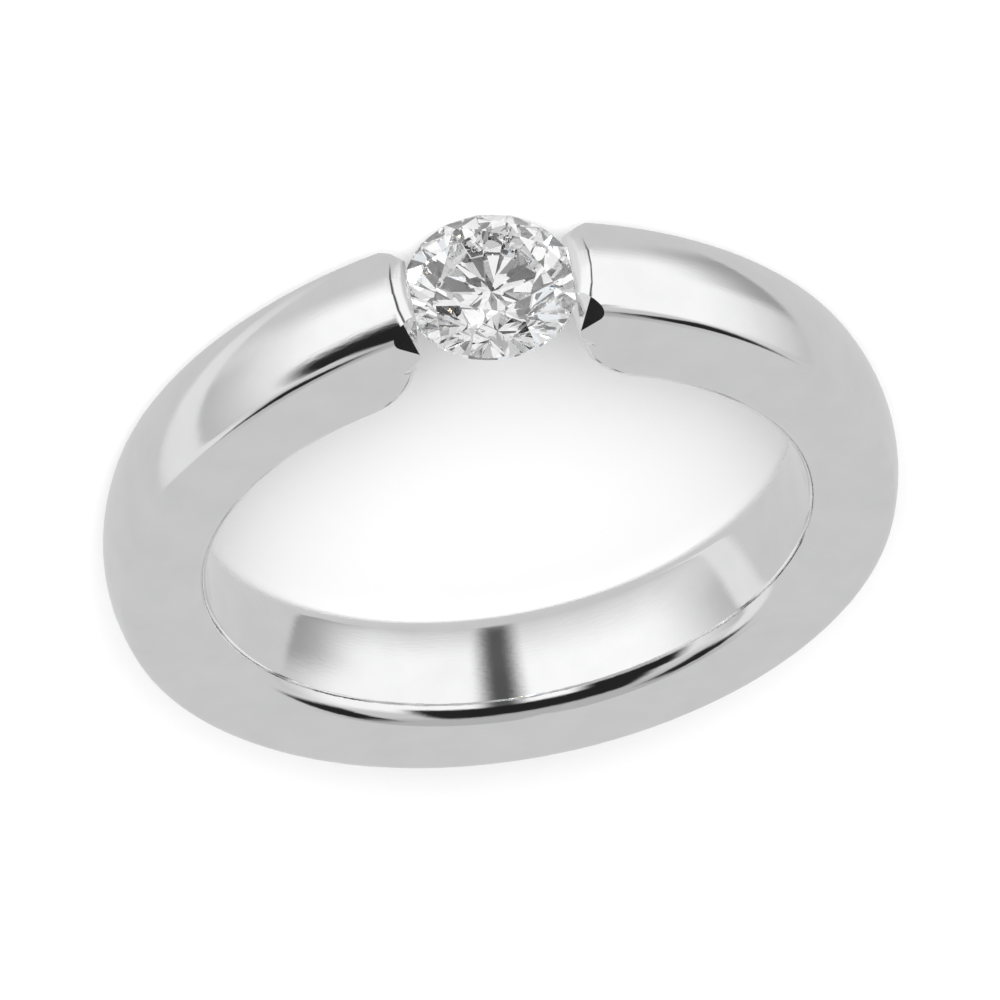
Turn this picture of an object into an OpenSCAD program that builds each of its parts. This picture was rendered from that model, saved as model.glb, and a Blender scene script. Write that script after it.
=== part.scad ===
// Tension set ring: one spring of metal whose two ends pinch a round brilliant between them.
// The finger's axis is Z, with Z = 0 at the middle of the finger hole. The stone faces -Y.

/* [Finger hole] */
// Diameter of the finger hole
bore_d = 17; // [15:0.1:21]
// Radius of the comfort rounding along both rims of the finger hole and round the ends' heels
comfort_r = 0.5; // [0.3:0.05:0.7]

/* [Band] */
// Thickness of the band at its base, opposite the stone
base_t = 3.5; // [2.6:0.1:4.2]
// Thickness of the band at both sides of the finger
side_t = 2.9; // [2.2:0.1:3.4]
// Width of the band at its base
base_w = 3.7; // [3.4:0.05:4.4]
// Width of the band where it meets the stone
stone_w = 3.05; // [2.8:0.05:3.4]
// Radius of the gentle crown across the outer surface
crown_r = 4.4; // [4:0.1:6]
// Radius of the rounding between the outer surface and each flat side
edge_r = 0.45; // [0.3:0.05:0.55]

/* [Ends] */
// Metal left above the girdle at each end, up to the outer surface
lip = 0.9; // [0.7:0.05:1.3]
// Width of the bevel between the outer surface and each end face
end_bevel = 0.48; // [0.3:0.02:0.6]
// Radius of the rounded heel between each end face and the finger hole
heel_r = 2.1; // [1.5:0.1:2.4]
// How far down each end face the facets reach that take off its outer corners
corner_reach = 1.3; // [0.9:0.05:1.4]

/* [Stone] */
// Diameter of the stone at its girdle
stone_d = 4.6; // [4:0.1:5.4]
// Width of the table across its corners, in percent of the stone's diameter
table_pct = 57; // [53:1:62]
// Slope of the crown's main facets
crown_deg = 34.5; // [32:0.5:36]
// Slope of the pavilion's main facets
pavilion_deg = 40.8; // [40:0.2:42]
// Height of the girdle where it is thickest
girdle_t = 0.16; // [0.13:0.01:0.2]
// Depth of the groove that each end wraps round the girdle
seat_depth = 0.15; // [0.1:0.01:0.25]
// Clearance between the stone and its grooves
seat_gap = 0.02; // [0.01:0.01:0.03]
// How far the stone's point stays clear of the finger hole
culet_gap = 0.5; // [0.3:0.05:0.8]

/* [Hidden] */
$fn = 96;
// The stone, measured along its own axis from the middle of its girdle
stone_r = stone_d / 2;
table_r = stone_r * table_pct / 100;
crown_h = (stone_r - table_r) * tan(crown_deg);
pavilion_h = stone_r * tan(pavilion_deg);
girdle_y = bore_d / 2 + culet_gap + pavilion_h + girdle_t / 2;
// The share of the way to the girdle that a star reaches, and to the point that a lower half reaches
star_share = 0.5;
lower_share = 0.77;
table_edge_r = table_r * cos(22.5);
star_r = table_edge_r + star_share * (stone_r - table_edge_r);
star_z = (stone_r - star_r * cos(22.5)) * tan(crown_deg);
star_deg = atan((crown_h - star_z) / (star_r - table_edge_r));
upper_deg = atan(star_z / ((stone_r - star_r) * cos(11.25)));
lower_r = stone_r * (1 - lower_share);
lower_z = (stone_r - lower_r * cos(22.5)) * tan(pavilion_deg);
lower_deg = atan(lower_z / ((stone_r - lower_r) * cos(11.25)));
// The main facets stop this far short of the girdle, which leaves a flat culet of the same order
main_lead = 0.02;
// The outline, seen along the finger: one round arc below, and a longer arc over each shoulder
bore_r = bore_d / 2;
half_gap = stone_r - seat_depth;
end_y = girdle_y + lip;
base_y = bore_r + base_t;
shank_r = bore_r + side_t;
shank_y = base_y - shank_r;
shoulder_r = (pow(shank_r - half_gap, 2) + pow(end_y + shank_y, 2)) / (2 * (shank_r - half_gap));
shoulder_x = shoulder_r - shank_r;
// The flat sides lean together by this angle, so the band narrows towards the stone
side_deg = atan((base_w - stone_w) / 2 / (base_y + end_y));
mid_w = base_w - 2 * tan(side_deg) * (base_y - shank_y);
end_w = base_w - 2 * tan(side_deg) * (base_y + end_y);
// Where the rounding of the outer edge sits, so that it meets the crown at a slight angle
edge_lead = 0.012;
edge_in = crown_r - sqrt(pow(crown_r - edge_r, 2) - pow(mid_w / 2 - edge_r, 2)) - edge_lead;
edge_shift = tan(side_deg) * (shank_r + shank_y) * tan(asin((mid_w / 2 - edge_r) / (crown_r - edge_r)));
edge_from = edge_r * (1 - sin(18));
comfort_lead = 0.02;
// Each heel is round about this point, and touches the finger hole in line with it
heel_x = half_gap + heel_r;
heel_y = sqrt(pow(bore_r + heel_r, 2) - heel_x * heel_x);
// Two facets meet in a point on each end face: how far each faces off the finger's axis, and off the end face
corner_facets = [[36, 54], [50, 40]];
corner_block = 1.6 * corner_reach;
big = bore_d * 2;

// A ring of the band's crowned cross-section, with its outer surface at radius r
module crowned_ring(r)
    rotate_extrude($fn = 180)
        intersection() {
            translate([r - crown_r, 0]) circle(crown_r);
            translate([0, -base_w]) square([r + 1, 2 * base_w]);
        }

// The round part of the outline lies on the base's side, and the rest over the shoulders
module base_half() translate([-big, shank_y, -big]) cube(2 * big);
module shoulder_half() translate([-big, shank_y - 2 * big, -big]) cube(2 * big);

// The whole outside of the band, still without a gap
module crowned_blank() {
    intersection() {
        translate([0, shank_y, 0]) crowned_ring(shank_r);
        base_half();
    }
    intersection() {
        translate([shoulder_x, shank_y, 0]) crowned_ring(shoulder_r);
        translate([-shoulder_x, shank_y, 0]) crowned_ring(shoulder_r);
        shoulder_half();
    }
}

// Cutter for the rounded outer edge of one side, with the flat side at Z = 0 and its arc of radius r
module edge_ring(r)
    rotate_extrude($fn = 180)
        difference() {
            translate([r - edge_in, edge_from - edge_r]) square([2, 2]);
            translate([r - edge_in, -edge_r]) circle(edge_r);
        }

module edge_cutter() {
    intersection() {
        edge_ring(shank_r);
        translate([-big, 0, -big]) cube(2 * big);
    }
    for (side = [-1, 1])
        intersection() {
            translate([-side * shoulder_x, 0, 0]) edge_ring(shoulder_r);
            translate([side > 0 ? 0 : -2 * big, -2 * big, -big]) cube(2 * big);
        }
}

// Cross-section of the comfort rounding's cutter: metal starts at X = 0, and the flat side is at Y = 0
module comfort_profile()
    difference() {
        translate([-1, -comfort_r]) square([1 + comfort_r - comfort_lead, comfort_r + 1]);
        translate([comfort_r - comfort_lead, -comfort_r]) circle(comfort_r);
    }

// A flat wedge from the origin, between the directions of two points
module wedge(a, b)
    translate([0, 0, -base_w])
        linear_extrude(2 * base_w)
            polygon([[0, 0], a, b]);

// The comfort rounding follows the finger hole to both heels, goes round them and up the end faces
module comfort_cutter() {
    difference() {
        rotate_extrude($fn = 180) translate([bore_r, 0]) comfort_profile();
        wedge([-2 * heel_x, -2 * heel_y], [2 * heel_x, -2 * heel_y]);
    }
    for (side = [0, 1])
        mirror([side, 0, 0]) {
            translate([heel_x, -heel_y, 0])
                intersection() {
                    rotate_extrude() translate([heel_r, 0]) mirror([1, 0]) comfort_profile();
                    wedge([-big, 0], [-heel_x, heel_y] * 2);
                }
            translate([half_gap, -heel_y, 0])
                rotate([90, 0, 0])
                    linear_extrude(bore_r) comfort_profile();
        }
}

// Everything that one flat side takes off the blank, with the side at Z = 0
module side_cutter() {
    translate([-big, -big, 0]) cube([2 * big, 2 * big, base_w]);
    translate([0, -edge_shift, 0]) edge_cutter();
    translate([0, -shank_y, 0]) comfort_cutter();
}

// The gap, with the end bevels, the rounded heels and the corner facets, for the end on the +X side
module end_cutter() {
    translate([-1, -big, -base_w]) cube([1 + half_gap, big, 2 * base_w]);
    translate([half_gap, -end_y, 0])
        rotate([0, 0, 45])
            translate([-2, -2, -base_w])
                cube([2 + end_bevel * sqrt(2), 2, 2 * base_w]);
    difference() {
        translate([half_gap - 1, -heel_y, -base_w]) cube([heel_r + 1, heel_y - bore_r / 2, 2 * base_w]);
        translate([heel_x, -heel_y, -2 * base_w]) cylinder(r = heel_r, h = 4 * base_w);
        rotate([0, 0, atan2(heel_x, heel_y)])
            translate([0, -big, -2 * base_w])
                cube([big, big, 4 * base_w]);
    }
    for (face = [-1, 1], facet = corner_facets)
        scale([1, 1, face])
            translate([half_gap, corner_reach - end_y, end_w / 2 + corner_reach * tan(side_deg)])
                rotate([0, facet[0], facet[1] - 180])
                    translate([-corner_block, -corner_block, 0])
                        cube([2 * corner_block, 2 * corner_block, corner_reach]);
}

// The groove for the girdle: the stone's own outline of revolution, a clearance larger
module seat_cutter()
    translate([0, -girdle_y, 0])
        rotate([90, 0, 0])
            rotate_extrude()
                polygon([
                    [0, -pavilion_h],
                    [stone_r + seat_gap, -girdle_t / 2 - seat_gap],
                    [stone_r + seat_gap, girdle_t / 2 + seat_gap],
                    [0, stone_r * tan(crown_deg)]
                ]);

module band()
    color([0.80, 0.80, 0.81])
        difference() {
            crowned_blank();
            for (face = [-1, 1])
                scale([1, 1, face])
                    translate([0, shank_y, mid_w / 2])
                        rotate([side_deg, 0, 0])
                            side_cutter();
            cylinder(r = bore_r, h = 4 * base_w, center = true, $fn = 180);
            end_cutter();
            mirror([1, 0, 0]) end_cutter();
            seat_cutter();
        }

// A row of flat cuts round the stone: each starts at radius reach on level z = 0 and slopes inwards
module facets(count, first, slope, reach) {
    for (k = [0:count - 1])
        rotate([0, 0, first + k * 360 / count])
            translate([reach, 0, 0])
                rotate([0, slope, 0])
                    translate([-stone_d, -stone_r, 0])
                        cube([2 * stone_d, stone_d, stone_d]);
}

// The round brilliant, point down and table up along Z, with its girdle at Z = 0
module brilliant()
    difference() {
        translate([0, 0, -pavilion_h - girdle_t / 2])
            cylinder(r = stone_r, h = pavilion_h + girdle_t + crown_h);
        translate([0, 0, girdle_t / 2]) {
            facets(8, 0, crown_deg, stone_r + main_lead);
            facets(16, 11.25, upper_deg, stone_r * cos(11.25));
            facets(8, 22.5, star_deg, table_edge_r + crown_h / tan(star_deg));
        }
        mirror([0, 0, 1])
            translate([0, 0, girdle_t / 2]) {
                facets(8, 0, pavilion_deg, stone_r + main_lead);
                facets(16, 11.25, lower_deg, stone_r * cos(11.25));
            }
    }

module stone()
    color([0.86, 0.90, 0.95])
        translate([0, -girdle_y, 0])
            rotate([90, 0, 0])
                brilliant();

band();
stone();
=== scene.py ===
# %% [markdown]
# A tension set ring: a polished band of white gold whose two ends pinch a round brilliant between them.
# This lesson loads the ring's construction as a fixed frame, and then makes the two visible pieces with
# Blender's own modelling operators: a swept and cut band, and a stone that is cut facet by facet.

# %% Load the frame
import bpy
import math
from mathutils import Matrix, Vector


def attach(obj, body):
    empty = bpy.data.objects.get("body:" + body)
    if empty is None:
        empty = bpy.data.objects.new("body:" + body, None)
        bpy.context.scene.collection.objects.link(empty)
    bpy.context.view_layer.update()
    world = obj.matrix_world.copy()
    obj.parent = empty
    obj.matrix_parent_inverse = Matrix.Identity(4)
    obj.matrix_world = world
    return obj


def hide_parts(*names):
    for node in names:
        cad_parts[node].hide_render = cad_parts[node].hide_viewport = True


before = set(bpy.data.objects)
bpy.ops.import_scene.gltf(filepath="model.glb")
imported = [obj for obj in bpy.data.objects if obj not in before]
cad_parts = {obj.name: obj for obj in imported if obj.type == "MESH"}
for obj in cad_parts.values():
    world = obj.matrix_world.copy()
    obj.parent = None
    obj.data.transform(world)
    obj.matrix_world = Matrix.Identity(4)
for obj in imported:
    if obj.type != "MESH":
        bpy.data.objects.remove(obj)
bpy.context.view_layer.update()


# %% [markdown]
# The sizes are the ring's own, in millimetres. One Blender unit stands for one millimetre while a piece is
# being made, because bevels and cuts are then well above Blender's smallest distances. The finished piece is
# scaled to metres once, and that scale is applied.

# %% Name the sizes
BORE_R = 8.5
BASE_T = 3.5
SIDE_T = 2.9
BASE_W = 3.7
STONE_W = 3.05
CROWN_R = 4.4
EDGE_R = 0.45
LIP = 0.9
END_BEVEL = 0.48
HEEL_R = 2.1
CORNER_REACH = 1.3
STONE_R = 2.3
TABLE_SHARE = 0.57
CROWN_DEG = 34.5
PAVILION_DEG = 40.8
GIRDLE_T = 0.16
SEAT_DEPTH = 0.15
SEAT_GAP = 0.02
CULET_GAP = 0.5
MM = 0.001

PAVILION_H = STONE_R * math.tan(math.radians(PAVILION_DEG))
GIRDLE_Y = BORE_R + CULET_GAP + PAVILION_H + GIRDLE_T / 2
HALF_GAP = STONE_R - SEAT_DEPTH
END_Y = GIRDLE_Y + LIP
BASE_Y = BORE_R + BASE_T
SHANK_R = BORE_R + SIDE_T
SHANK_Y = BASE_Y - SHANK_R
SHOULDER_R = ((SHANK_R - HALF_GAP) ** 2 + (END_Y + SHANK_Y) ** 2) / (2 * (SHANK_R - HALF_GAP))
SHOULDER_X = SHOULDER_R - SHANK_R
HEEL_X = HALF_GAP + HEEL_R
HEEL_Y = math.sqrt((BORE_R + HEEL_R) ** 2 - HEEL_X ** 2)
print("half gap %.2f, girdle %.2f and ends %.2f mm from the finger's axis" % (HALF_GAP, GIRDLE_Y, END_Y))

# %% [markdown]
# Small helpers keep the steps short. Each operator acts on whatever is selected, so a step starts by
# deselecting everything, and picks its vertices or faces by where they are.

# %% Helpers for picking and joining
def only(obj):
    """Makes one object the only selected and the active one."""
    bpy.ops.object.select_all(action="DESELECT")
    obj.select_set(True)
    bpy.context.view_layer.objects.active = obj


def edit(obj, mode="VERT"):
    """Enters edit mode on one object with nothing selected."""
    only(obj)
    bpy.ops.object.mode_set(mode="EDIT")
    bpy.ops.mesh.select_mode(type=mode)
    bpy.ops.mesh.select_all(action="DESELECT")


def leave():
    bpy.ops.object.mode_set(mode="OBJECT")


def pick(obj, kind, test):
    """Selects the vertices, edges or faces whose middle passes a test, and enters edit mode."""
    edit(obj, kind)
    leave()
    mesh = obj.data
    parts = {"VERT": mesh.vertices, "EDGE": mesh.edges, "FACE": mesh.polygons}[kind]
    for part in parts:
        if kind == "VERT":
            middle = part.co
        else:
            middle = sum((mesh.vertices[i].co for i in part.vertices), Vector()) / len(part.vertices)
        part.select = bool(test(middle))
    bpy.ops.object.mode_set(mode="EDIT")


def join(pieces, name):
    """Joins several objects into the first one and names it."""
    bpy.ops.object.select_all(action="DESELECT")
    for piece in pieces:
        piece.select_set(True)
    bpy.context.view_layer.objects.active = pieces[0]
    bpy.ops.object.join()
    pieces[0].name = name
    return pieces[0]


def apply_modifier(obj, kind, **settings):
    """Adds a modifier with its settings and applies it at once."""
    only(obj)
    modifier = obj.modifiers.new(kind.title(), kind)
    for key, value in settings.items():
        setattr(modifier, key, value)
    bpy.ops.object.modifier_apply(modifier=modifier.name)


# %% [markdown]
# The band is forged and then filed as one bar. Its inner and outer surfaces follow different circles, so a
# single swept cross-section can't make it. Instead each surface is a line swept by the Spin operator round
# its own centres, and the flat sides are bridged between them. The ring has two planes of symmetry, so only
# a quarter is made: half the width, on one side of the stone.

# %% Draw a line as a profile
def line(name, points):
    """Keeps one edge of a new plane, cuts it into steps and lays its vertices on the points."""
    bpy.ops.object.select_all(action="DESELECT")
    bpy.ops.mesh.primitive_plane_add(size=1)
    obj = bpy.context.object
    obj.name = name
    pick(obj, "VERT", lambda v: v.x > 0)
    bpy.ops.mesh.delete(type="VERT")
    bpy.ops.mesh.select_all(action="SELECT")
    bpy.ops.mesh.subdivide(number_cuts=len(points) - 2)
    leave()
    for vertex, point in zip(sorted(obj.data.vertices, key=lambda v: v.co.y), points):
        vertex.co = point
    return obj


def sweep(obj, turns):
    """Spins a line round each centre in turn: (centre x, centre y, degrees anticlockwise, steps)."""
    edit(obj)
    bpy.ops.mesh.select_all(action="SELECT")
    for x, y, degrees, steps in turns:
        bpy.ops.mesh.spin(steps=steps, angle=math.radians(degrees), center=(x, y, 0), axis=(0, 0, -1))


# %% [markdown]
# The inside of a comfort band isn't straight: it is slightly crowned, so that it slides over the knuckle, and
# it curls away faster near both rims. Its line is drawn across half the width, with short steps in the curl.

# %% Draw the inner line
ROUND_STEPS = 12
FLAT_STEPS = 8
HALF_W = BASE_W / 2
INNER_CROWN_R = 10.0
RIM_R = 0.74
RIM_END = math.radians(65)
RIM_START = math.asin((HALF_W - RIM_R * math.sin(RIM_END)) / (INNER_CROWN_R - RIM_R))

inner_points = []
for i in range(FLAT_STEPS):
    lean = RIM_START * i / FLAT_STEPS
    inner_points.append((0, BORE_R + INNER_CROWN_R * (1 - math.cos(lean)), INNER_CROWN_R * math.sin(lean)))
rim_y = BORE_R + INNER_CROWN_R - (INNER_CROWN_R - RIM_R) * math.cos(RIM_START)
rim_z = (INNER_CROWN_R - RIM_R) * math.sin(RIM_START)
for i in range(ROUND_STEPS + 1):
    lean = RIM_START + (RIM_END - RIM_START) * i / ROUND_STEPS
    inner_points.append((0, rim_y - RIM_R * math.cos(lean), rim_z + RIM_R * math.sin(lean)))
inner_points[-1] = (0, inner_points[-1][1], HALF_W)
print("the rim stands back by %.3f mm at the side" % (inner_points[-1][1] - BORE_R))

# %% [markdown]
# The line is swept round the finger's axis from the base, then the other way round the heel, and last it is
# extruded straight up the end face, a little past the end. The end is filed to its length later.

# %% Sweep the inner surface
BORE_STEPS = 130
HEEL_STEPS = 50
RISE_STEPS = 40
PAST_END = 0.2
HEEL_TURN = math.degrees(math.atan2(HEEL_Y, HEEL_X))
inner = line("inner", inner_points)
sweep(inner, [(0, 0, -90 - HEEL_TURN, BORE_STEPS), (HEEL_X, -HEEL_Y, HEEL_TURN, HEEL_STEPS)])
RISE = END_Y + PAST_END - HEEL_Y
for step in range(RISE_STEPS):
    bpy.ops.mesh.extrude_region_move(TRANSFORM_OT_translate={"value": (0, -RISE / RISE_STEPS, 0)})
leave()

# %% [markdown]
# On the real ring the rims' rounding runs out on the end faces, which meet the flat sides in a crisp corner.
# Each vertex there moves towards that corner by a share that grows smoothly, and the rows that end up in the
# corner are merged.

# %% Fade the rounding into a crisp corner
FADE_END = HEEL_Y + 0.85 * (END_Y - CORNER_REACH - HEEL_Y)
LEAST_KEPT = 0.03
MERGE = 1e-4
for vertex in inner.data.vertices:
    share = min(1, max(0, (-vertex.co.y - HEEL_Y) / (FADE_END - HEEL_Y)))
    if share > 0 and vertex.co.x < HEEL_X:
        keep = 1 - share * share * (3 - 2 * share)
        keep = keep if keep > LEAST_KEPT else 0
        vertex.co.x = HALF_GAP + (vertex.co.x - HALF_GAP) * keep
        vertex.co.z = HALF_W * (1 - keep) * min(1, vertex.co.z / rim_z) + vertex.co.z * keep
edit(inner)
bpy.ops.mesh.select_all(action="SELECT")
bpy.ops.mesh.remove_doubles(threshold=MERGE)
leave()
print("inner surface:", len(inner.data.polygons), "faces")

# %% [markdown]
# The outer line is a gentle crown that runs into the rounding of the edge. It is swept round the base's
# centre for a quarter turn, and then round the shoulder's own centre until it is past the end.

# %% Sweep the outer surface
CROWN_STEPS = 10
BASE_STEPS = 90
SHOULDER_STEPS = 110
EDGE_LEAN = math.asin((HALF_W - EDGE_R) / (CROWN_R - EDGE_R))
EDGE_IN = CROWN_R - (CROWN_R - EDGE_R) * math.cos(EDGE_LEAN)

outer_points = []
for i in range(CROWN_STEPS):
    lean = EDGE_LEAN * i / CROWN_STEPS
    outer_points.append((0, BASE_Y - CROWN_R * (1 - math.cos(lean)), CROWN_R * math.sin(lean)))
for i in range(ROUND_STEPS + 1):
    lean = EDGE_LEAN + (math.radians(90) - EDGE_LEAN) * i / ROUND_STEPS
    rise = HALF_W - EDGE_R + EDGE_R * math.sin(lean)
    outer_points.append((0, BASE_Y - EDGE_IN + EDGE_R * math.cos(lean), rise))

SHOULDER_TURN = math.degrees(math.acos((HALF_GAP - PAST_END + SHOULDER_X) / SHOULDER_R))
outer = line("outer", outer_points)
sweep(outer, [(0, SHANK_Y, -90, BASE_STEPS), (-SHOULDER_X, SHANK_Y, -SHOULDER_TURN, SHOULDER_STEPS)])
leave()
print("outer surface:", len(outer.data.polygons), "faces")

# %% [markdown]
# The two strips are joined, and the flat side is bridged between their upper borders. The bridge's many faces
# are dissolved into one, because the side is flat, and a narrow inset along both borders keeps the shading of
# the roundings out of it. One cut across parts it again into the end, which gets filed, and the rest.

# %% Bridge the side and the end
quarter = join([outer, inner], "polished_band")


def pick_border(obj, test):
    """Selects the open edges whose middle passes a test, and enters edit mode."""
    edit(obj, "EDGE")
    bpy.ops.mesh.select_non_manifold(
        use_wire=False, use_multi_face=False, use_non_contiguous=False, use_verts=False
    )
    leave()
    mesh = obj.data
    for part in mesh.edges:
        if part.select:
            start, end = (mesh.vertices[i].co for i in part.vertices)
            part.select = bool(test((start + end) / 2))
    count = sum(part.select for part in mesh.edges)
    bpy.ops.object.mode_set(mode="EDIT")
    return count


TINY = 0.0005
rim = pick_border(quarter, lambda m: abs(m.z - HALF_W) < TINY)
bpy.ops.mesh.bridge_edge_loops()
leave()
print("side bridged between", rim, "edges, now", len(quarter.data.polygons), "faces")

SUPPORT = 0.05
pick(quarter, "FACE", lambda m: abs(m.z - HALF_W) < TINY / 10)
bpy.ops.mesh.dissolve_faces()
bpy.ops.mesh.inset(thickness=SUPPORT, use_boundary=False)
leave()
NEAR_END_Y = -6.8
pick(quarter, "FACE", lambda m: abs(m.z - HALF_W) < TINY / 10)
bpy.ops.mesh.bisect(plane_co=(0, NEAR_END_Y, 0), plane_no=(0, 1, 0))
leave()

# %% [markdown]
# The flat sides lean together towards the stone. A lattice of eight points is put round the quarter, its far
# points are lowered in proportion, and the straight interpolation keeps flat faces flat.

# %% Narrow the band with a lattice
LATTICE_REACH = 13.0


def width_share(y):
    """The band's width at a place along Y, as a share of its width at the base."""
    return 1 - (1 - STONE_W / BASE_W) * (BASE_Y - y) / (BASE_Y + END_Y)


bpy.ops.object.select_all(action="DESELECT")
bpy.ops.object.add(type="LATTICE")
cage = bpy.context.object
cage.scale = (2 * LATTICE_REACH,) * 3
cage.data.points_u, cage.data.points_v, cage.data.points_w = 2, 2, 2
cage.data.interpolation_type_u = "KEY_LINEAR"
cage.data.interpolation_type_v = "KEY_LINEAR"
cage.data.interpolation_type_w = "KEY_LINEAR"
for point in cage.data.points:
    x, y, z = point.co
    point.co_deform = (x, y, z * width_share(2 * LATTICE_REACH * y))
apply_modifier(quarter, "LATTICE", object=cage)
only(cage)
bpy.ops.object.delete()
print("width at the stone:", round(2 * width_share(-END_Y) * HALF_W, 3), "mm")

# %% [markdown]
# Two mirrors make the whole band from the quarter. Each open end is closed with one rough face, which lies
# wholly in the waste that the next cuts take off, and the normals are turned outwards.

# %% Mirror the quarter and close the ends
apply_modifier(quarter, "MIRROR", use_axis=(True, False, True), merge_threshold=0.001)
band = quarter


def close(obj, side):
    """Closes the open border on one side of the stone, 1 or -1, with a single face."""
    pick_border(obj, lambda m: m.x * side > 0)
    bpy.ops.mesh.edge_face_add()
    leave()


close(band, 1)
close(band, -1)


def turn_out(obj):
    """Turns every face of a closed piece outwards."""
    edit(obj)
    bpy.ops.mesh.select_all(action="SELECT")
    bpy.ops.mesh.remove_doubles(threshold=MERGE)
    bpy.ops.mesh.normals_make_consistent(inside=False)
    leave()


turn_out(band)
print("whole band:", len(band.data.polygons), "faces")

# %% [markdown]
# A jeweller files the bevel and the two small facets at each corner flat. Bisect does the same: it cuts the
# selected faces with a plane and clears what lies beyond it. The cut is then closed with one flat face.

# %% A file that cuts flat
def file_flat(obj, side, point, normal):
    """Cuts the end on one side of the stone with a plane, and takes off what lies on the normal's side."""
    pick(obj, "FACE", lambda m: m.x * side > 0 and m.y < NEAR_END_Y)
    bpy.ops.mesh.bisect(plane_co=point, plane_no=normal, clear_outer=True, threshold=1e-6)
    leave()
    close(obj, side)


# %% [markdown]
# Polishing softens the corner between the crown and the end bevel, and the dark line there shows it. The
# Bevel operator stops at the narrow faces beside the corner, so the corner is filed round instead: a small
# ball is rolled along it in thought, and each plane touches the ball in one place.

# %% Planes that soften the corner
CREASE_R = 0.5
CREASE_CUTS = 5
CREASE_ROWS = 5
CREASE_SPAN = math.radians(17)
HALF_ROOT = math.sqrt(0.5)


def crease_planes():
    """The planes for the +X side, each as a point and its outward normal."""
    planes = []
    share = width_share(END_BEVEL - END_Y)
    total = HALF_GAP - END_Y + END_BEVEL + CREASE_R / HALF_ROOT + SHOULDER_X - SHANK_Y
    for row in range(CREASE_ROWS):
        lean = CREASE_SPAN * (2 * row / (CREASE_ROWS - 1) - 1)
        crown = Vector((math.cos(lean), math.sin(lean) / share)).normalized()
        reach = SHOULDER_R - CROWN_R * (1 - math.cos(lean)) - CREASE_R * crown.x
        half = math.sqrt(2 * reach ** 2 - total ** 2) / 2
        across, along = total / 2 + half, total / 2 - half
        height = share * CROWN_R * math.sin(lean) - CREASE_R * crown.y
        ball = Vector((across - SHOULDER_X, along + SHANK_Y, height))
        on_crown = Vector((across / reach * crown.x, along / reach * crown.x, crown.y))
        on_bevel = Vector((-HALF_ROOT, -HALF_ROOT, 0))
        for step in range(1, CREASE_CUTS):
            normal = on_crown.slerp(on_bevel, step / CREASE_CUTS)
            planes.append((ball + CREASE_R * normal, normal))
    return planes


softening = crease_planes()
print("each corner is softened with", len(softening), "planes")

# %% [markdown]
# Two facets meet in a point on each end face. Each is given by how far it faces off the finger's axis, and
# off the end face, in degrees. Both ends get the same cuts, mirrored.

# %% File the end bevels and the corner facets
CORNER_FACETS = [(36, 54), (50, 40)]
END_W = BASE_W * width_share(-END_Y)
SIDE_SLOPE = (BASE_W - STONE_W) / 2 / (BASE_Y + END_Y)

for side in (1, -1):
    flip = Vector((side, 1, 1))
    file_flat(band, side, (side * HALF_GAP, END_BEVEL - END_Y, 0), (-side * HALF_ROOT, -HALF_ROOT, 0))
    for point, normal in softening:
        file_flat(band, side, point * flip, normal * flip)
    for face in (1, -1):
        tip = (side * HALF_GAP, CORNER_REACH - END_Y, face * (END_W / 2 + CORNER_REACH * SIDE_SLOPE))
        for off_axis, off_end in CORNER_FACETS:
            polar, turn = math.radians(off_axis), math.radians(off_end)
            across = -side * math.sin(polar) * math.cos(turn)
            normal = Vector((across, -math.sin(polar) * math.sin(turn), face * math.cos(polar)))
            file_flat(band, side, tip, normal)
turn_out(band)
print("after filing:", len(band.data.polygons), "faces")

# %% [markdown]
# Each end has a shallow groove that wraps round the stone's girdle. The groove is the stone's own outline, a
# clearance larger, so its cutter is a disc whose rim slopes like the stone, taken off with a boolean.

# %% Cut the grooves for the girdle
bpy.ops.object.select_all(action="DESELECT")
SEAT_R = STONE_R + SEAT_GAP
bpy.ops.mesh.primitive_cylinder_add(vertices=180, radius=SEAT_R, depth=GIRDLE_T + 2 * SEAT_GAP)
cutter = bpy.context.object
GROOVE_IN = 2 * SEAT_DEPTH
for face, slope in ((1, CROWN_DEG), (-1, PAVILION_DEG)):
    drop = GROOVE_IN * math.tan(math.radians(slope))
    pick(cutter, "FACE", lambda m: m.z * face > GIRDLE_T / 2 and m.to_2d().length < 0.1)
    bpy.ops.mesh.extrude_region_move(TRANSFORM_OT_translate={"value": (0, 0, face * drop)})
    shrink = (SEAT_R - GROOVE_IN) / SEAT_R
    bpy.ops.transform.resize(value=(shrink, shrink, 1), center_override=(0, 0, 0))
    leave()


def face_out(obj):
    """Turns a piece made along Z so that its top faces away from the finger, and moves it to the girdle."""
    only(obj)
    obj.rotation_euler.x = math.radians(90)
    obj.location.y = -GIRDLE_Y
    bpy.ops.object.transform_apply(location=True, rotation=True, scale=True)


turn_out(cutter)
face_out(cutter)
apply_modifier(band, "BOOLEAN", object=cutter, operation="DIFFERENCE", solver="EXACT")
only(cutter)
bpy.ops.object.delete()
print("after the grooves:", len(band.data.polygons), "faces")

# %% [markdown]
# A finished piece points outwards, is scaled to metres, and is shaded smooth. The angle decides which edges
# stay crisp: the band's filed edges do, and on the stone every edge between two facets does.

# %% Finish the band
BAND_SMOOTH_DEG = 14
STONE_SMOOTH_DEG = 2


def finish_shape(obj, degrees):
    """Turns the faces outwards, scales the piece to metres and shades it smooth up to an angle."""
    turn_out(obj)
    only(obj)
    obj.scale = (MM, MM, MM)
    bpy.ops.object.transform_apply(location=True, rotation=True, scale=True)
    bpy.ops.object.shade_smooth_by_angle(angle=math.radians(degrees))


finish_shape(band, BAND_SMOOTH_DEG)
apply_modifier(band, "WEIGHTED_NORMAL", keep_sharp=True, weight=100)
print("band:", len(band.data.polygons), "faces, size", tuple(round(v, 5) for v in band.dimensions))

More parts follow.
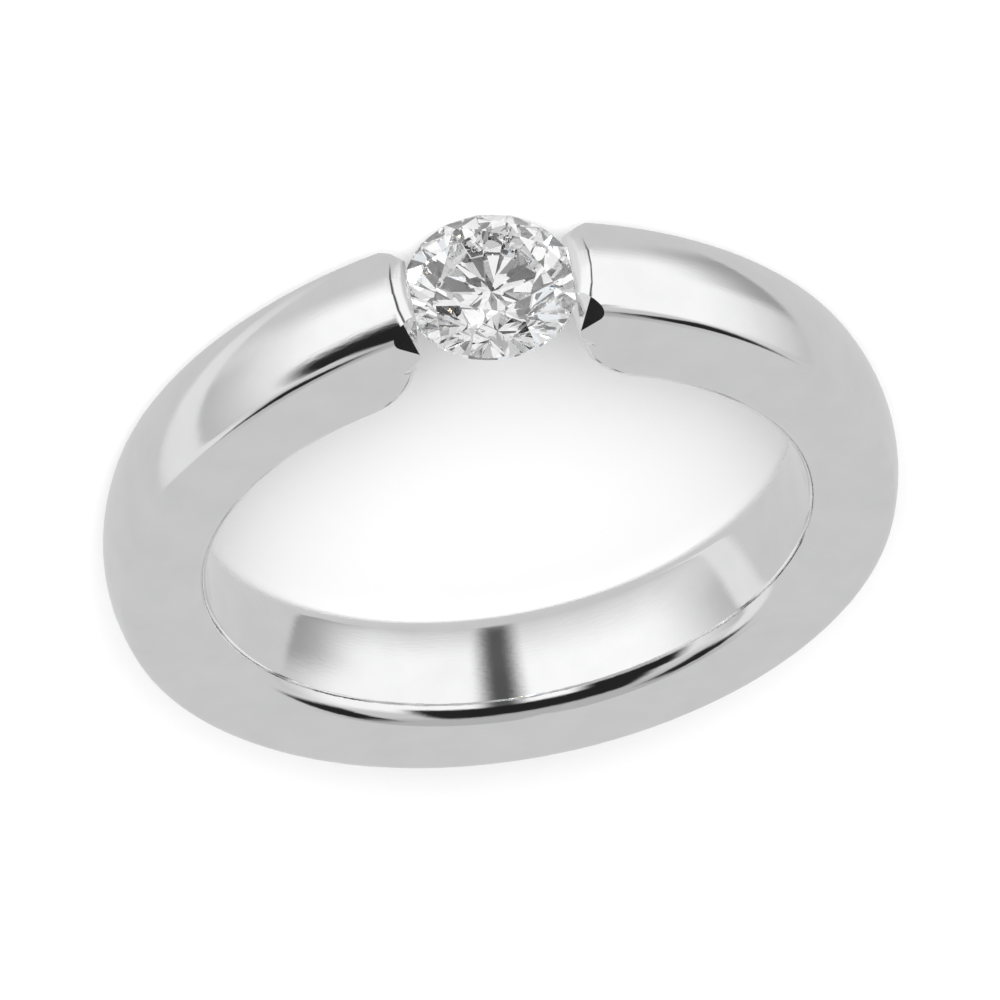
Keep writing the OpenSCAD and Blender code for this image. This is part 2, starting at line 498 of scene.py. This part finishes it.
# %% [markdown]
# A round brilliant has eight main facets, eight stars and sixteen halves round its table, and eight mains
# and sixteen halves below the girdle. Their slopes follow from a few proportions: the table's width, the
# slopes of both rows of mains, and how far the stars and the lower halves reach.

# %% Work out the facets
TABLE_R = STONE_R * TABLE_SHARE
CROWN_TAN = math.tan(math.radians(CROWN_DEG))
PAVILION_TAN = math.tan(math.radians(PAVILION_DEG))
CROWN_H = (STONE_R - TABLE_R) * CROWN_TAN
STAR_SHARE = 0.5
LOWER_SHARE = 0.77
MAIN_LEAD = 0.02
EIGHTH = math.radians(22.5)
SIXTEENTH = EIGHTH / 2

table_edge_r = TABLE_R * math.cos(EIGHTH)
star_r = table_edge_r + STAR_SHARE * (STONE_R - table_edge_r)
star_z = (STONE_R - star_r * math.cos(EIGHTH)) * CROWN_TAN
star_tan = (CROWN_H - star_z) / (star_r - table_edge_r)
upper_tan = star_z / ((STONE_R - star_r) * math.cos(SIXTEENTH))
lower_r = STONE_R * (1 - LOWER_SHARE)
lower_z = (STONE_R - lower_r * math.cos(EIGHTH)) * PAVILION_TAN
lower_tan = lower_z / ((STONE_R - lower_r) * math.cos(SIXTEENTH))

for name, slope in (("stars", star_tan), ("upper halves", upper_tan), ("lower halves", lower_tan)):
    print("%s slope by %.1f degrees" % (name, math.degrees(math.atan(slope))))

# %% [markdown]
# The stone starts as a short cylinder and is cut like the real one, facet by facet. Each cut is a plane,
# given by its slope and by how far out it meets the girdle's level.

# %% Cut the stone
STONE_H = CROWN_H + PAVILION_H + GIRDLE_T
middle = (0, 0, (CROWN_H - PAVILION_H) / 2)
bpy.ops.object.select_all(action="DESELECT")
bpy.ops.mesh.primitive_cylinder_add(vertices=192, radius=STONE_R, depth=STONE_H, location=middle)
stone = bpy.context.object
stone.name = "brilliant"
bpy.ops.object.transform_apply(location=True, rotation=True, scale=True)


def facets(count, first, slope_tan, reach, face):
    """Cuts a row of flat facets, above the girdle for face 1 and below it for face -1."""
    length = math.hypot(slope_tan, 1)
    for k in range(count):
        turn = first + k * math.tau / count
        out = Vector((math.cos(turn), math.sin(turn), 0))
        normal = (out * slope_tan + Vector((0, 0, face))) / length
        edit(stone)
        bpy.ops.mesh.select_all(action="SELECT")
        bpy.ops.mesh.bisect(
            plane_co=out * reach + Vector((0, 0, face * GIRDLE_T / 2)), plane_no=normal,
            use_fill=True, clear_outer=True, threshold=1e-6
        )
        leave()


facets(8, 0, CROWN_TAN, STONE_R + MAIN_LEAD, 1)
facets(16, SIXTEENTH, upper_tan, STONE_R * math.cos(SIXTEENTH), 1)
facets(8, EIGHTH, star_tan, table_edge_r + CROWN_H / star_tan, 1)
facets(8, 0, PAVILION_TAN, STONE_R + MAIN_LEAD, -1)
facets(16, SIXTEENTH, lower_tan, STONE_R * math.cos(SIXTEENTH), -1)

face_out(stone)
finish_shape(stone, STONE_SMOOTH_DEG)
LARGE = 0.02 * MM * MM
flat_faces = sum(1 for p in stone.data.polygons if p.area > LARGE)
print("stone:", flat_faces, "large facets, size", tuple(round(v, 5) for v in stone.dimensions))

# %% [markdown]
# A finish is painted by nodes on Object coordinates, so it stays with the piece and needs no picture. Three
# helpers make what both finishes need: a shader, noise, and a change of range.

# %% A small kit for materials
def new_material(name):
    """A material with a bare Principled shader: returns it with its nodes, its links and the shader."""
    material = bpy.data.materials.new(name)
    material.use_nodes = True
    nodes, links = material.node_tree.nodes, material.node_tree.links
    return material, nodes, links, nodes["Principled BSDF"]


def object_noise(nodes, links, scale, detail, stretch=(1, 1, 1)):
    """Noise on Object coordinates, stretched by a Mapping node. Scale is in features per metre."""
    place = nodes.new("ShaderNodeTexCoord")
    mapping = nodes.new("ShaderNodeMapping")
    mapping.inputs["Scale"].default_value = stretch
    noise = nodes.new("ShaderNodeTexNoise")
    noise.inputs["Scale"].default_value = scale
    noise.inputs["Detail"].default_value = detail
    links.new(place.outputs["Object"], mapping.inputs["Vector"])
    links.new(mapping.outputs["Vector"], noise.inputs["Vector"])
    return noise.outputs["Fac"]


def between(nodes, links, value, low, high, to_low, to_high):
    """Stretches a value from one range to another, without leaving it."""
    spread = nodes.new("ShaderNodeMapRange")
    for key, number in (("From Min", low), ("From Max", high), ("To Min", to_low), ("To Max", to_high)):
        spread.inputs[key].default_value = number
    links.new(value, spread.inputs["Value"])
    return spread.outputs["Result"]


# %% [markdown]
# White gold is polished to a mirror and plated, so its colour is an even light grey, and nearly all of its
# look is what it mirrors. Two things still show: the flat sides are a little more satin than the outside, and
# fine polishing lines and a few soft patches disturb the mirror.

# %% White gold
gold, nodes, links, shader = new_material("polished_white_gold")
shader.inputs["Metallic"].default_value = 1.0
patches = object_noise(nodes, links, 900, 3)
lines = object_noise(nodes, links, 2600, 6, (1, 1, 5))

tint = nodes.new("ShaderNodeValToRGB")
tint.color_ramp.elements[0].position = 0.3
tint.color_ramp.elements[0].color = (0.83, 0.83, 0.835, 1)
tint.color_ramp.elements[1].position = 0.7
tint.color_ramp.elements[1].color = (0.87, 0.87, 0.87, 1)
links.new(patches, tint.inputs["Fac"])
links.new(tint.outputs["Color"], shader.inputs["Base Color"])

surface = nodes.new("ShaderNodeTexCoord")
split = nodes.new("ShaderNodeSeparateXYZ")
upright = nodes.new("ShaderNodeMath")
upright.operation = "ABSOLUTE"
links.new(surface.outputs["Normal"], split.inputs["Vector"])
links.new(split.outputs["Z"], upright.inputs[0])
satin = between(nodes, links, upright.outputs["Value"], 0.9, 1.0, 0.0, 0.12)
haze = between(nodes, links, patches, 0.3, 0.7, 0.05, 0.09)
total = nodes.new("ShaderNodeMath")
links.new(satin, total.inputs[0])
links.new(haze, total.inputs[1])
links.new(total.outputs["Value"], shader.inputs["Roughness"])

relief = nodes.new("ShaderNodeBump")
relief.inputs["Strength"].default_value = 0.02
relief.inputs["Distance"].default_value = 0.0001
links.new(lines, relief.inputs["Height"])
links.new(relief.outputs["Normal"], shader.inputs["Normal"])
band.data.materials.clear()
band.data.materials.append(gold)
print("band:", gold.name, "with", len(nodes), "nodes")

# %% [markdown]
# Diamond bends light far more than glass, which is why light that enters the table comes back out of it. Its
# facets are polished as far as can be, so only the faintest dust roughens them.

# %% Diamond
gem, nodes, links, shader = new_material("diamond")
shader.inputs["Base Color"].default_value = (1, 1, 1, 1)
shader.inputs["Transmission Weight"].default_value = 1.0
shader.inputs["IOR"].default_value = 2.42
dust = object_noise(nodes, links, 4000, 2)
links.new(between(nodes, links, dust, 0.4, 0.8, 0.0, 0.004), shader.inputs["Roughness"])
stone.data.materials.clear()
stone.data.materials.append(gem)
print("stone:", gem.name, "with", len(nodes), "nodes")

# %% [markdown]
# Both pieces ride on the ring's one body and stand for the solids of the same name, which are hidden.

# %% Put the pieces in the frame
for piece, node, slot in ((band, "band", "band_metal"), (stone, "stone", "gem")):
    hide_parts(node)
    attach(piece, "root")
    print(piece.name, "stands for", node)

# %% [markdown]
# The ring lies on its side on a plain pale floor. The stone is wider than the band, so the ring touches the
# floor with its girdle on one side, and with the edge of its base on the other. The ring stays upright here,
# so it is the floor that leans a little.

# %% Floor
REST_EDGE_Y = 11.3
REST_EDGE_Z = 1.85
bpy.ops.object.select_all(action="DESELECT")
bpy.ops.mesh.primitive_plane_add(size=3, location=(0, 0, 0))
floor = bpy.context.object
floor.name = "floor"
floor_lean = math.atan2(STONE_R - REST_EDGE_Z, GIRDLE_Y + REST_EDGE_Y)
floor.location.z = (math.tan(floor_lean) * GIRDLE_Y - STONE_R) * MM
floor.rotation_euler.x = floor_lean
print("the floor leans %.2f degrees" % math.degrees(floor_lean))
white, nodes, links, shader = new_material("floor_white")
shader.inputs["Base Color"].default_value = (0.93, 0.93, 0.93, 1)
shader.inputs["Roughness"].default_value = 0.6
floor.data.materials.append(white)
floor.visible_glossy = False
floor.visible_transmission = False

# %% [markdown]
# Polished metal looks like what stands round it, so the studio is painted by direction onto the world.
# Directions are given in degrees: round the finger's axis from the stone's side, and up from the horizon.
# A panel is a soft rectangle in these two angles, laid in front of what was painted before.

# %% Paint by direction
world = bpy.context.scene.world or bpy.data.worlds.new("studio")
bpy.context.scene.world = world
world.use_nodes = True
nodes, links = world.node_tree.nodes, world.node_tree.links


def math_node(operation, first, second=None):
    """One Math node. Each input is a number or a socket."""
    node = nodes.new("ShaderNodeMath")
    node.operation = operation
    for socket, value in zip(node.inputs, (first, second)):
        if isinstance(value, (int, float)):
            socket.default_value = value
        elif value is not None:
            links.new(value, socket)
    return node.outputs["Value"]


place = nodes.new("ShaderNodeTexCoord")
split = nodes.new("ShaderNodeSeparateXYZ")
links.new(place.outputs["Generated"], split.inputs["Vector"])
towards_stone = math_node("MULTIPLY", split.outputs["Y"], -1)
ROUND = math_node("DEGREES", math_node("ARCTAN2", split.outputs["X"], towards_stone))
HEIGHT = math_node("DEGREES", math_node("ARCSINE", split.outputs["Z"]))


def within(value, low, high, soft):
    """1 where a value lies between low and high, fading to 0 over a soft border."""
    spread = nodes.new("ShaderNodeMapRange")
    spread.interpolation_type = "SMOOTHSTEP"
    middle, half = (low + high) / 2, (high - low) / 2
    links.new(math_node("ABSOLUTE", math_node("SUBTRACT", value, middle)), spread.inputs["Value"])
    for key, number in (("From Min", half - soft), ("From Max", half + soft), ("To Min", 1), ("To Max", 0)):
        spread.inputs[key].default_value = number
    return spread.outputs["Result"]


def panel(behind, brightness, sideways, upwards, soft=(6, 6)):
    """Puts one panel in front of what was painted so far, and returns the new brightness."""
    mask = math_node("MULTIPLY", within(ROUND, *sideways, soft[0]), within(HEIGHT, *upwards, soft[1]))
    blend = nodes.new("ShaderNodeMix")
    links.new(mask, blend.inputs["Factor"])
    if isinstance(behind, (int, float)):
        blend.inputs["A"].default_value = behind
    else:
        links.new(behind, blend.inputs["A"])
    blend.inputs["B"].default_value = brightness
    return blend.outputs["Result"]


# %% [markdown]
# A grey tent stands all round. Two softboxes flank the ring, with a dark gap between them. Each dims towards
# its outer end, which is crisp against the tent. The dark opening is above the camera, and the small dark
# cards give the corner facets their black.

# %% The studio's panels
TENT = 0.66
DARK = 0.02
# the left softbox, its dimmer end, a bright strip beside it, and the tent
light = panel(TENT, 1.12, (-4, 110), (-38, 32), (7, 13))
light = panel(light, 0.54, (70, 150), (-38, 32), (24, 13))
light = panel(light, 0.85, (90, 108), (-60, 60), (2, 12))
light = panel(light, TENT, (106, 184), (-90, 90), (4, 6))
# the right softbox, its dimmer end with a grey foot, and the tent
light = panel(light, 1.08, (-120, -14), (-40, 34), (7, 9))
light = panel(light, 0.6, (-170, -86), (-40, 34), (18, 9))
light = panel(light, 0.38, (-170, -80), (-50, -25), (20, 5))
light = panel(light, TENT, (-184, -100), (-90, 90), (2, 6))
# the gap between them, and the tent's greyer roof
light = panel(light, 0.1, (-15, -2), (-50, 30), (5, 8))
light = panel(light, 0.5, (-150, 150), (58, 100), (8, 8))
# the opening above the camera, its lower corner, and the two cards
light = panel(light, DARK, (-46, 52), (21, 62), (6, 5))
light = panel(light, DARK, (20, 62), (2, 34), (6, 5))
light = panel(light, DARK, (-114, -80), (40, 64), (5, 5))
light = panel(light, DARK, (78, 112), (48, 70), (5, 5))
links.new(light, nodes["Background"].inputs["Color"])
nodes["Background"].inputs["Strength"].default_value = 1.0
print("the studio has", sum(node.type == "MIX" for node in nodes), "panels")

# %% [markdown]
# A soft, low light from the stone's side brightens the floor alone and draws a faint shadow behind the ring.
# Metal and stone don't mirror it, because the painted studio already holds every light that they show. The
# Standard view keeps white paper white.

# %% Light for the floor
bpy.ops.object.light_add(type="SUN", location=(0, 0, 0.3))
floor_light = bpy.context.object
floor_light.data.energy = 6.8
floor_light.data.angle = math.radians(52)
floor_light.rotation_euler = (math.radians(68), 0, math.radians(3))
floor_light.visible_glossy = False
floor_light.visible_transmission = False
bpy.context.scene.view_settings.view_transform = "Standard"

# %% [markdown]
# A jewel photographer brings small lamps close to the stone alone. Here they are area lights that only rays
# inside the stone can see. The large ones fill its grey facets, and the small ones, warm and cool, give it
# fire.

# %% Lamps for the stone
LAMP_REACH = 0.4


def stone_lamp(name, sideways, upwards, half_width, brightness, colour=(1, 1, 1)):
    """An area light in a direction given in degrees, turned to the ring and seen by refracted rays alone."""
    turn, rise = math.radians(sideways), math.radians(upwards)
    out = Vector((math.sin(turn) * math.cos(rise), -math.cos(turn) * math.cos(rise), math.sin(rise)))
    bpy.ops.object.light_add(type="AREA", location=out * LAMP_REACH)
    lamp = bpy.context.object
    lamp.name = name
    lamp.rotation_euler = out.to_track_quat("Z", "Y").to_euler()
    lamp.data.size = 2 * LAMP_REACH * math.tan(math.radians(half_width))
    lamp.data.energy = brightness * math.pi * lamp.data.size ** 2
    lamp.data.color = colour
    lamp.visible_glossy = False
    lamp.visible_diffuse = False


stone_lamp("fill_left", 37, 38, 11, 0.8, (0.9, 0.95, 1))
stone_lamp("fill_right", -29, 38, 11, 0.8)
stone_lamp("fill_top", 4, 68, 14, 1.0)
stone_lamp("spark_warm", 30, 72, 4, 9, (1, 0.72, 0.45))
stone_lamp("spark_cool", -40, 70, 5, 9, (0.45, 0.7, 1))
stone_lamp("spark_side", 70, 34, 4, 9, (0.6, 0.8, 1))

# %% [markdown]
# A diamond throws light back and forth many times before it leaves. The usual count of bounces stops too
# early and turns such facets black, so the counts are raised.

# %% Bounces inside the stone
BOUNCES = 32
paths = bpy.context.scene.cycles
paths.max_bounces = BOUNCES
paths.glossy_bounces = BOUNCES
paths.transmission_bounces = BOUNCES
print("light may bounce", paths.max_bounces, "times")

# %% [markdown]
# The camera has the photograph's angle to the ring, and is rolled so that the stone is at the top of the
# picture. Its place is in millimetres, and its three axes make up its turn.

# %% Camera
CAMERA_AT = (8.32, -115.21, 71.77)
RIGHT = (-0.98713, 0.02737, 0.15754)
UP = (-0.1478, -0.53216, -0.83364)
BACK = (0.06102, -0.8462, 0.52936)
bpy.ops.object.camera_add()
camera = bpy.context.object
camera.name = "camera"
turn = Matrix((RIGHT, UP, BACK)).transposed()
camera.matrix_world = Matrix.Translation(Vector(CAMERA_AT) * MM) @ turn.to_4x4()
camera.data.sensor_width = 36
camera.data.lens = 172.3
camera.data.clip_start = 0.001
bpy.context.scene.camera = camera
print("the camera stands %.0f mm away" % Vector(CAMERA_AT).length)
